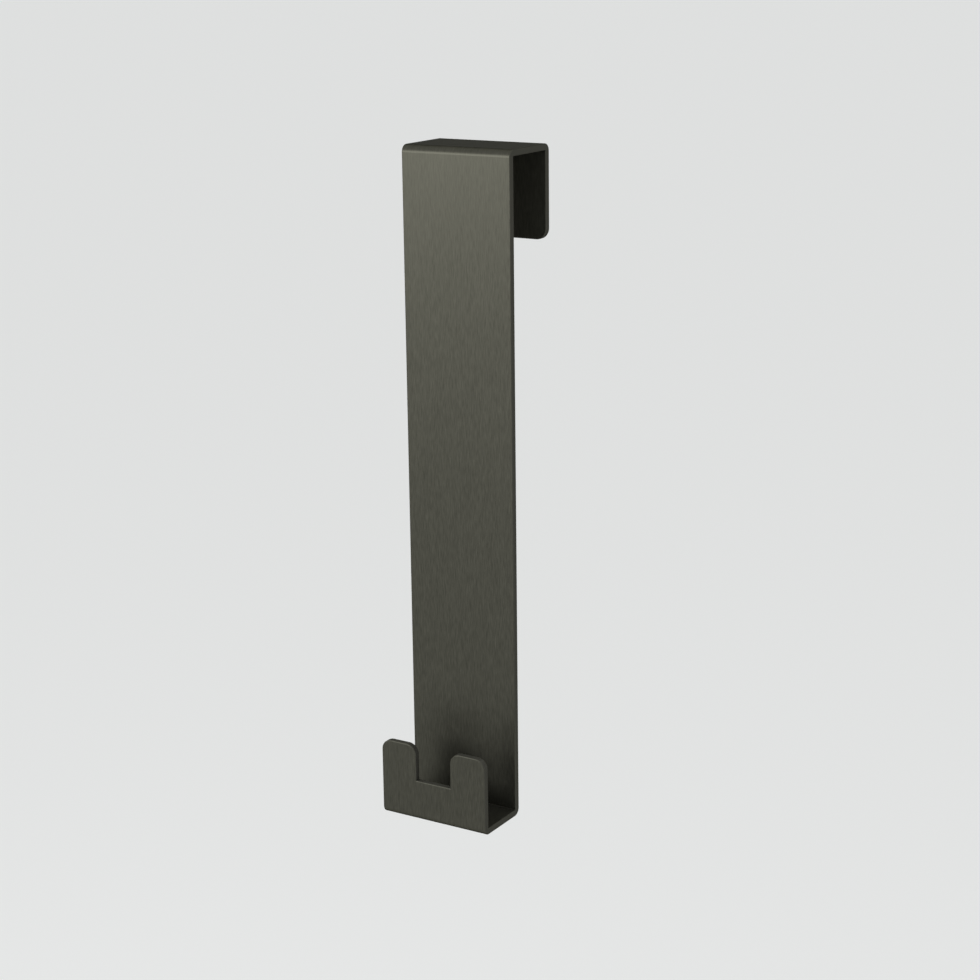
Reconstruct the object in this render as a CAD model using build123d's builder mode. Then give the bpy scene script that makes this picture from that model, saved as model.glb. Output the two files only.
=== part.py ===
import os

from build123d import *

os.makedirs("parts", exist_ok=True)

# Shower hook that hangs over an upright edge, folded from one strip of brushed steel sheet.
# The origin is the middle of the seat, the flat underside of the bridge at the top.
# +X runs along the folds, -Y points to the front, +Z points up. Sizes in millimetres.

# Sheet
sheet_thickness = 1.8
strip_width = 33.0
bend_inner_radius = 0.2
edge_break = 0.25

# Folded profile
overall_height = 182.0  # lowest face to highest face
seat_gap = 16.4  # clear, between the plate and the back flange
back_flange_drop = 25.3  # top face to the flange's lower edge
hook_gap = 14.2  # clear, between the plate and the front flange
front_flange_rise = 21.8  # lowest face to the tips of the prongs

# Slot that leaves two prongs, and the rounded corners
slot_width = 11.0
slot_depth = 10.2
prong_corner_radius = 3.0
back_corner_radius = 3.0

bend_outer_radius = bend_inner_radius + sheet_thickness
lowest_z = sheet_thickness - overall_height
back_edge_z = sheet_thickness - back_flange_drop
prong_tip_z = lowest_z + front_flange_rise
flange_inner_y = seat_gap / 2
plate_back_y = -seat_gap / 2
hook_front_y = plate_back_y - sheet_thickness - hook_gap - sheet_thickness

with BuildPart() as hook:
    # Section of the strip: the skin that holds the seat, then the other skin one thickness away
    with BuildSketch(Plane.YZ):
        with BuildLine():
            FilletPolyline(
                (flange_inner_y, back_edge_z),
                (flange_inner_y, 0),
                (plate_back_y, 0),
                (plate_back_y, lowest_z),
                (hook_front_y, lowest_z),
                (hook_front_y, prong_tip_z),
                radius=[bend_inner_radius, bend_inner_radius, bend_outer_radius, bend_outer_radius],
            )
            offset(amount=sheet_thickness, side=Side.RIGHT)
        make_face()
    extrude(amount=strip_width / 2, both=True)

    # Slot cut down from the front flange's top edge
    with BuildSketch(Plane.XZ.offset(-hook_front_y)):
        with Locations((0, prong_tip_z)):
            Rectangle(slot_width, slot_depth, align=(Align.CENTER, Align.MAX))
    extrude(amount=-sheet_thickness, mode=Mode.SUBTRACT)

    # Rounded corners: edges across the sheet, from the lowest up, lie at the slot, the tips and the back
    across = hook.edges().filter_by(Axis.Y).group_by(SortBy.LENGTH)[0]
    fillet(across.group_by(Axis.Z)[1], radius=prong_corner_radius)
    across = hook.edges().filter_by(Axis.Y).group_by(SortBy.LENGTH)[0]
    fillet(across.group_by(Axis.Z)[-1], radius=back_corner_radius)

    # Softened rim all round the strip, on both of its skins
    across = hook.edges().filter_by(Axis.Y).group_by(SortBy.LENGTH)[0]
    fold_lines = hook.edges().filter_by(Axis.X).group_by(SortBy.LENGTH)[-1]
    fillet(hook.edges() - across - fold_lines, radius=edge_break)

hook.part.label = "hook"
export_step(hook.part, "parts/hook.step")
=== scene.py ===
import math

import bmesh
import bpy
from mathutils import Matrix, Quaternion, Vector


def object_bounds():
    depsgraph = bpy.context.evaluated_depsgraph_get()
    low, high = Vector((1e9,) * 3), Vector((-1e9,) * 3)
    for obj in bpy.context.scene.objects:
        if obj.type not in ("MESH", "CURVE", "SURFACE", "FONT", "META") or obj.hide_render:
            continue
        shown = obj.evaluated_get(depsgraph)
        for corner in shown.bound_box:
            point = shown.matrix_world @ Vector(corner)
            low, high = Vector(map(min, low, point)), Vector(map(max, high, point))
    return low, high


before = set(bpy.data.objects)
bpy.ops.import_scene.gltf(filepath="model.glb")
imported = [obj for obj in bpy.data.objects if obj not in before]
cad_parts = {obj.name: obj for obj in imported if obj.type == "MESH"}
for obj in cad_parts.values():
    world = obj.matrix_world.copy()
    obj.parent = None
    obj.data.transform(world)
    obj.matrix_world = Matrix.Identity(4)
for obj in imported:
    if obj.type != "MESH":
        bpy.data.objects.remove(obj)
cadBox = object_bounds()
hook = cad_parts["hook"]
print("frame loaded, hook box", [round(side * 1000, 1) for side in cadBox[1] - cadBox[0]], "mm")


class Wire:  # a node socket that takes part in plain arithmetic
    def __init__(self, tree, socket=None):
        self.tree = tree
        self.socket = socket

    def node(self, kind, settings=None, sockets=None, out=0):
        made = self.tree.nodes.new(kind)
        for name, value in (settings or {}).items():
            setattr(made, name, value)
        for name, value in (sockets or {}).items():
            if isinstance(value, Wire):
                self.tree.links.new(value.socket, made.inputs[name])
            else:
                made.inputs[name].default_value = value
        return Wire(self.tree, made.outputs[out] if made.outputs else None)

    def split(self, vector):
        parts = self.node("ShaderNodeSeparateXYZ", {}, {"Vector": vector}).socket.node.outputs
        return [Wire(self.tree, part) for part in parts]

    def math(self, operation, first, second=0.0):
        return self.node("ShaderNodeMath", {"operation": operation}, {0: first, 1: second})

    def within(self, value, span):  # rises smoothly from 0 to 1 over the span
        return self.node("ShaderNodeMapRange", {"interpolation_type": "SMOOTHSTEP"},
                         {"Value": value, "From Min": span[0], "From Max": span[1]})

    def mix(self, share, first, second):  # a Mix node's colours are its sockets 6 and 7
        return self.node("ShaderNodeMix", {"data_type": "RGBA"}, {0: share, 6: first, 7: second}, out=2)

    def __add__(self, other):
        return self.math("ADD", self, other)

    def __radd__(self, other):
        return self.math("ADD", other, self)

    def __sub__(self, other):
        return self.math("SUBTRACT", self, other)

    def __rsub__(self, other):
        return self.math("SUBTRACT", other, self)

    def __mul__(self, other):
        return self.math("MULTIPLY", self, other)

    def __rmul__(self, other):
        return self.math("MULTIPLY", other, self)


def newTree(owner):
    owner.use_nodes = True
    owner.node_tree.nodes.clear()
    return Wire(owner.node_tree)


# Brushed gunmetal: the strip was brushed along its length before it was cut and folded
steel = {
    "tone": (0.0658, 0.065, 0.0522),
    "toneSwing": 0.28,  # how far the streaks darken and lighten the tone
    "metal": 0.75,
    "grazing": (0.23, 0.23, 0.23, 1),
    "roughness": 0.43,
    "roughnessSwing": 0.25,
    "dash": {"across": 4200, "along": 400, "detail": 3.0, "seed": 1.3},  # streaks per metre of strip
    "hair": {"across": 9000, "along": 330, "detail": 2.0, "seed": 4.7},
    "cloud": {"across": 70, "along": 22, "detail": 2.0, "seed": 8.1},
    "dashShare": 0.6,  # the rest of the brushing is hair
    "brushContrast": 2.4,
    "cloudContrast": 0.2,
    "reliefStrength": 0.25,
    "reliefDepth": 0.00002,
    "sideTone": (0.0735, 0.0726, 0.0616, 1),  # long edges, duller and never brushed
    # Cut ends painted lighter than the long edges: a painted highlight for the light that falls on the
    # up-facing tips
    "paintedLitEndTone": (0.084, 0.083, 0.07, 1),  # prong tips, slot and the back flange's lower edge
    "cutMetal": 0.5,
    "cutLean": (0.45, 0.85),  # how squarely a face looks that way before it counts as cut
    "uprights": (-0.176, -0.004),  # heights between the bottom run and the bridge
    # Painted shade in the inside corners of the folds
    "paintedCreaseShade": (0.038, 0.0375, 0.0301, 1),
    "paintedCreaseShadeReach": (0.0002, 0.0005),  # distances from an inside corner over which its dark tone fades
}


def brushedSteel():
    material = bpy.data.materials.new("brushedGunmetal")
    tree = newTree(material)
    x, y, z = tree.split(tree.node("ShaderNodeTexCoord", out="Object"))
    leanX, _, leanZ = tree.split(tree.node("ShaderNodeTexCoord", out="Normal"))
    run = y + z  # length along the strip, over its folds

    def streaks(kind):
        spot = tree.node("ShaderNodeCombineXYZ", {}, {
            "X": x * kind["across"], "Y": run * kind["along"], "Z": kind["seed"]})
        return tree.node("ShaderNodeTexNoise", {"noise_dimensions": "3D"}, {
            "Vector": spot, "Scale": 1.0, "Detail": kind["detail"], "Roughness": 0.55})

    brush = streaks(steel["dash"]) * steel["dashShare"] + streaks(steel["hair"]) * (1 - steel["dashShare"])
    cloud = streaks(steel["cloud"])
    shade = (brush - 0.5) * steel["brushContrast"] + (cloud - 0.5) * steel["cloudContrast"] + 0.5

    # The rim looks sideways everywhere, and up or down only on the uprights
    low, high = steel["uprights"]
    upright = tree.math("GREATER_THAN", z, low) * tree.math("LESS_THAN", z, high)
    sides = tree.within(tree.math("ABSOLUTE", leanX), steel["cutLean"])
    ends = tree.within(tree.math("ABSOLUTE", leanZ * upright), steel["cutLean"])
    cut = tree.math("MAXIMUM", sides, ends)

    dark = tuple(c * (1 - steel["toneSwing"]) for c in steel["tone"]) + (1,)
    pale = tuple(c * (1 + steel["toneSwing"]) for c in steel["tone"]) + (1,)
    # Cut ends are painted lighter than the long edges, a painted highlight for the light on the up-facing
    # tips
    tone = tree.mix(ends, tree.mix(shade, dark, pale), steel["paintedLitEndTone"])

    # Inside corners of the folds are painted darker, a painted shade in the creases. The origin is the
    # seat's middle, one sheet below the top
    (_, front, foot), (_, rear, sheet) = cadBox
    wall, pocket = rear - sheet, foot + sheet
    section = tree.node("ShaderNodeCombineXYZ", {}, {"Y": y, "Z": z})
    for corner in ((wall, 0), (-wall, 0), (-rear, pocket), (front + sheet, pocket)):
        gap = tree.node("ShaderNodeVectorMath", {"operation": "DISTANCE"},
                        {0: section, 1: (0, *corner)}, out="Value")
        tone = tree.mix(tree.within(gap, steel["paintedCreaseShadeReach"]), steel["paintedCreaseShade"], tone)
    tone = tree.mix(sides, tone, steel["sideTone"])

    relief = tree.node("ShaderNodeBump", {}, {
        "Strength": steel["reliefStrength"], "Distance": steel["reliefDepth"], "Height": brush})
    skin = tree.node("ShaderNodeBsdfPrincipled", {}, {
        "Base Color": tone,
        "Metallic": steel["metal"] - cut * (steel["metal"] - steel["cutMetal"]),
        "Roughness": steel["roughness"] + (brush - 0.5) * steel["roughnessSwing"],
        "Specular IOR Level": 0.0,
        "Specular Tint": steel["grazing"],
        "Normal": relief,
    })
    tree.node("ShaderNodeOutputMaterial", {}, {"Surface": skin})
    return material


hook.material_slots[0].material = brushedSteel()
print("brushed gunmetal on the hook")

# Pale floor, well below the hanging hook
floor = {"level": -0.65, "radius": 80.0, "segments": 96, "colour": (0.885, 0.89, 0.888, 1), "roughness": 0.9}


def paleFloor():
    bm = bmesh.new()
    bmesh.ops.create_circle(bm, cap_ends=True, segments=floor["segments"], radius=floor["radius"])
    bmesh.ops.translate(bm, verts=bm.verts, vec=(0, 0, floor["level"]))
    mesh = bpy.data.meshes.new("floor")
    bm.to_mesh(mesh)
    bm.free()
    piece = bpy.data.objects.new("floor", mesh)
    bpy.context.scene.collection.objects.link(piece)
    material = bpy.data.materials.new("paleFloor")
    tree = newTree(material)
    matt = tree.node("ShaderNodeBsdfPrincipled", {}, {
        "Base Color": floor["colour"], "Roughness": floor["roughness"], "Specular IOR Level": 0.0})
    tree.node("ShaderNodeOutputMaterial", {}, {"Surface": matt})
    mesh.materials.append(material)


paleFloor()
print("pale floor laid")

# Soft studio light: an even room and one soft box, ahead on the left
studio = {
    "foot": (0.7315, 0.7425, 0.738, 1),  # meets the far floor without a seam
    "walls": (0.40, 0.403, 0.402, 1),
    "ceiling": (0.95, 0.957, 0.954, 1),
    "fall": (0.0, 0.24),  # sines of the elevations where foot turns to walls
    "rise": (0.3, 0.65),  # and walls to ceiling
    "boxAzimuth": 31,  # degrees to the left of straight ahead
    "boxElevation": 6,
    "boxDistance": 0.9,
    "boxSize": 0.30,
    "boxRadiance": 13.6,
}


def softStudio():
    world = bpy.data.worlds.new("paleRoom")
    bpy.context.scene.world = world
    tree = newTree(world)
    _, _, up = tree.split(tree.node("ShaderNodeTexCoord", out="Generated"))
    room = tree.mix(tree.within(up, studio["fall"]), studio["foot"], studio["walls"])
    room = tree.mix(tree.within(up, studio["rise"]), room, studio["ceiling"])
    glow = tree.node("ShaderNodeBackground", {}, {"Color": room, "Strength": 1.0})
    tree.node("ShaderNodeOutputWorld", {}, {"Surface": glow})

    lamp = bpy.data.lights.new("softBox", "AREA")
    lamp.shape = "SQUARE"
    lamp.size = studio["boxSize"]
    lamp.energy = studio["boxRadiance"] * math.pi * studio["boxSize"] ** 2
    box = bpy.data.objects.new("softBox", lamp)
    side = math.radians(studio["boxAzimuth"])
    rise = math.radians(studio["boxElevation"])
    toward = Vector((-math.sin(side) * math.cos(rise), -math.cos(side) * math.cos(rise), math.sin(rise)))
    box.location = toward * studio["boxDistance"]
    box.rotation_mode = "QUATERNION"
    box.rotation_quaternion = toward.to_track_quat("Z", "Y")
    box.visible_camera = False
    bpy.context.scene.collection.objects.link(box)


softStudio()
print("studio light set")

# Camera at the photograph's viewing angle
shot = {
    "from": (0.29524, -0.47469, 0.05778),
    "towards": (-0.50609, 0.82282, -0.25854),
    "lens": 78.06,
    "sensor": 36,
    "roll": 0.68,  # degrees
}


def takeShot():
    data = bpy.data.cameras.new("shot")
    data.lens = shot["lens"]
    data.sensor_width = shot["sensor"]
    data.clip_start = 0.01
    camera = bpy.data.objects.new("shot", data)
    camera.location = shot["from"]
    camera.rotation_mode = "QUATERNION"
    turn = Quaternion((0, 0, 1), -math.radians(shot["roll"]))
    camera.rotation_quaternion = Vector(shot["towards"]).to_track_quat("-Z", "Y") @ turn
    bpy.context.scene.collection.objects.link(camera)
    bpy.context.scene.camera = camera


takeShot()
bpy.context.scene.view_settings.view_transform = "Standard"
print("camera set")
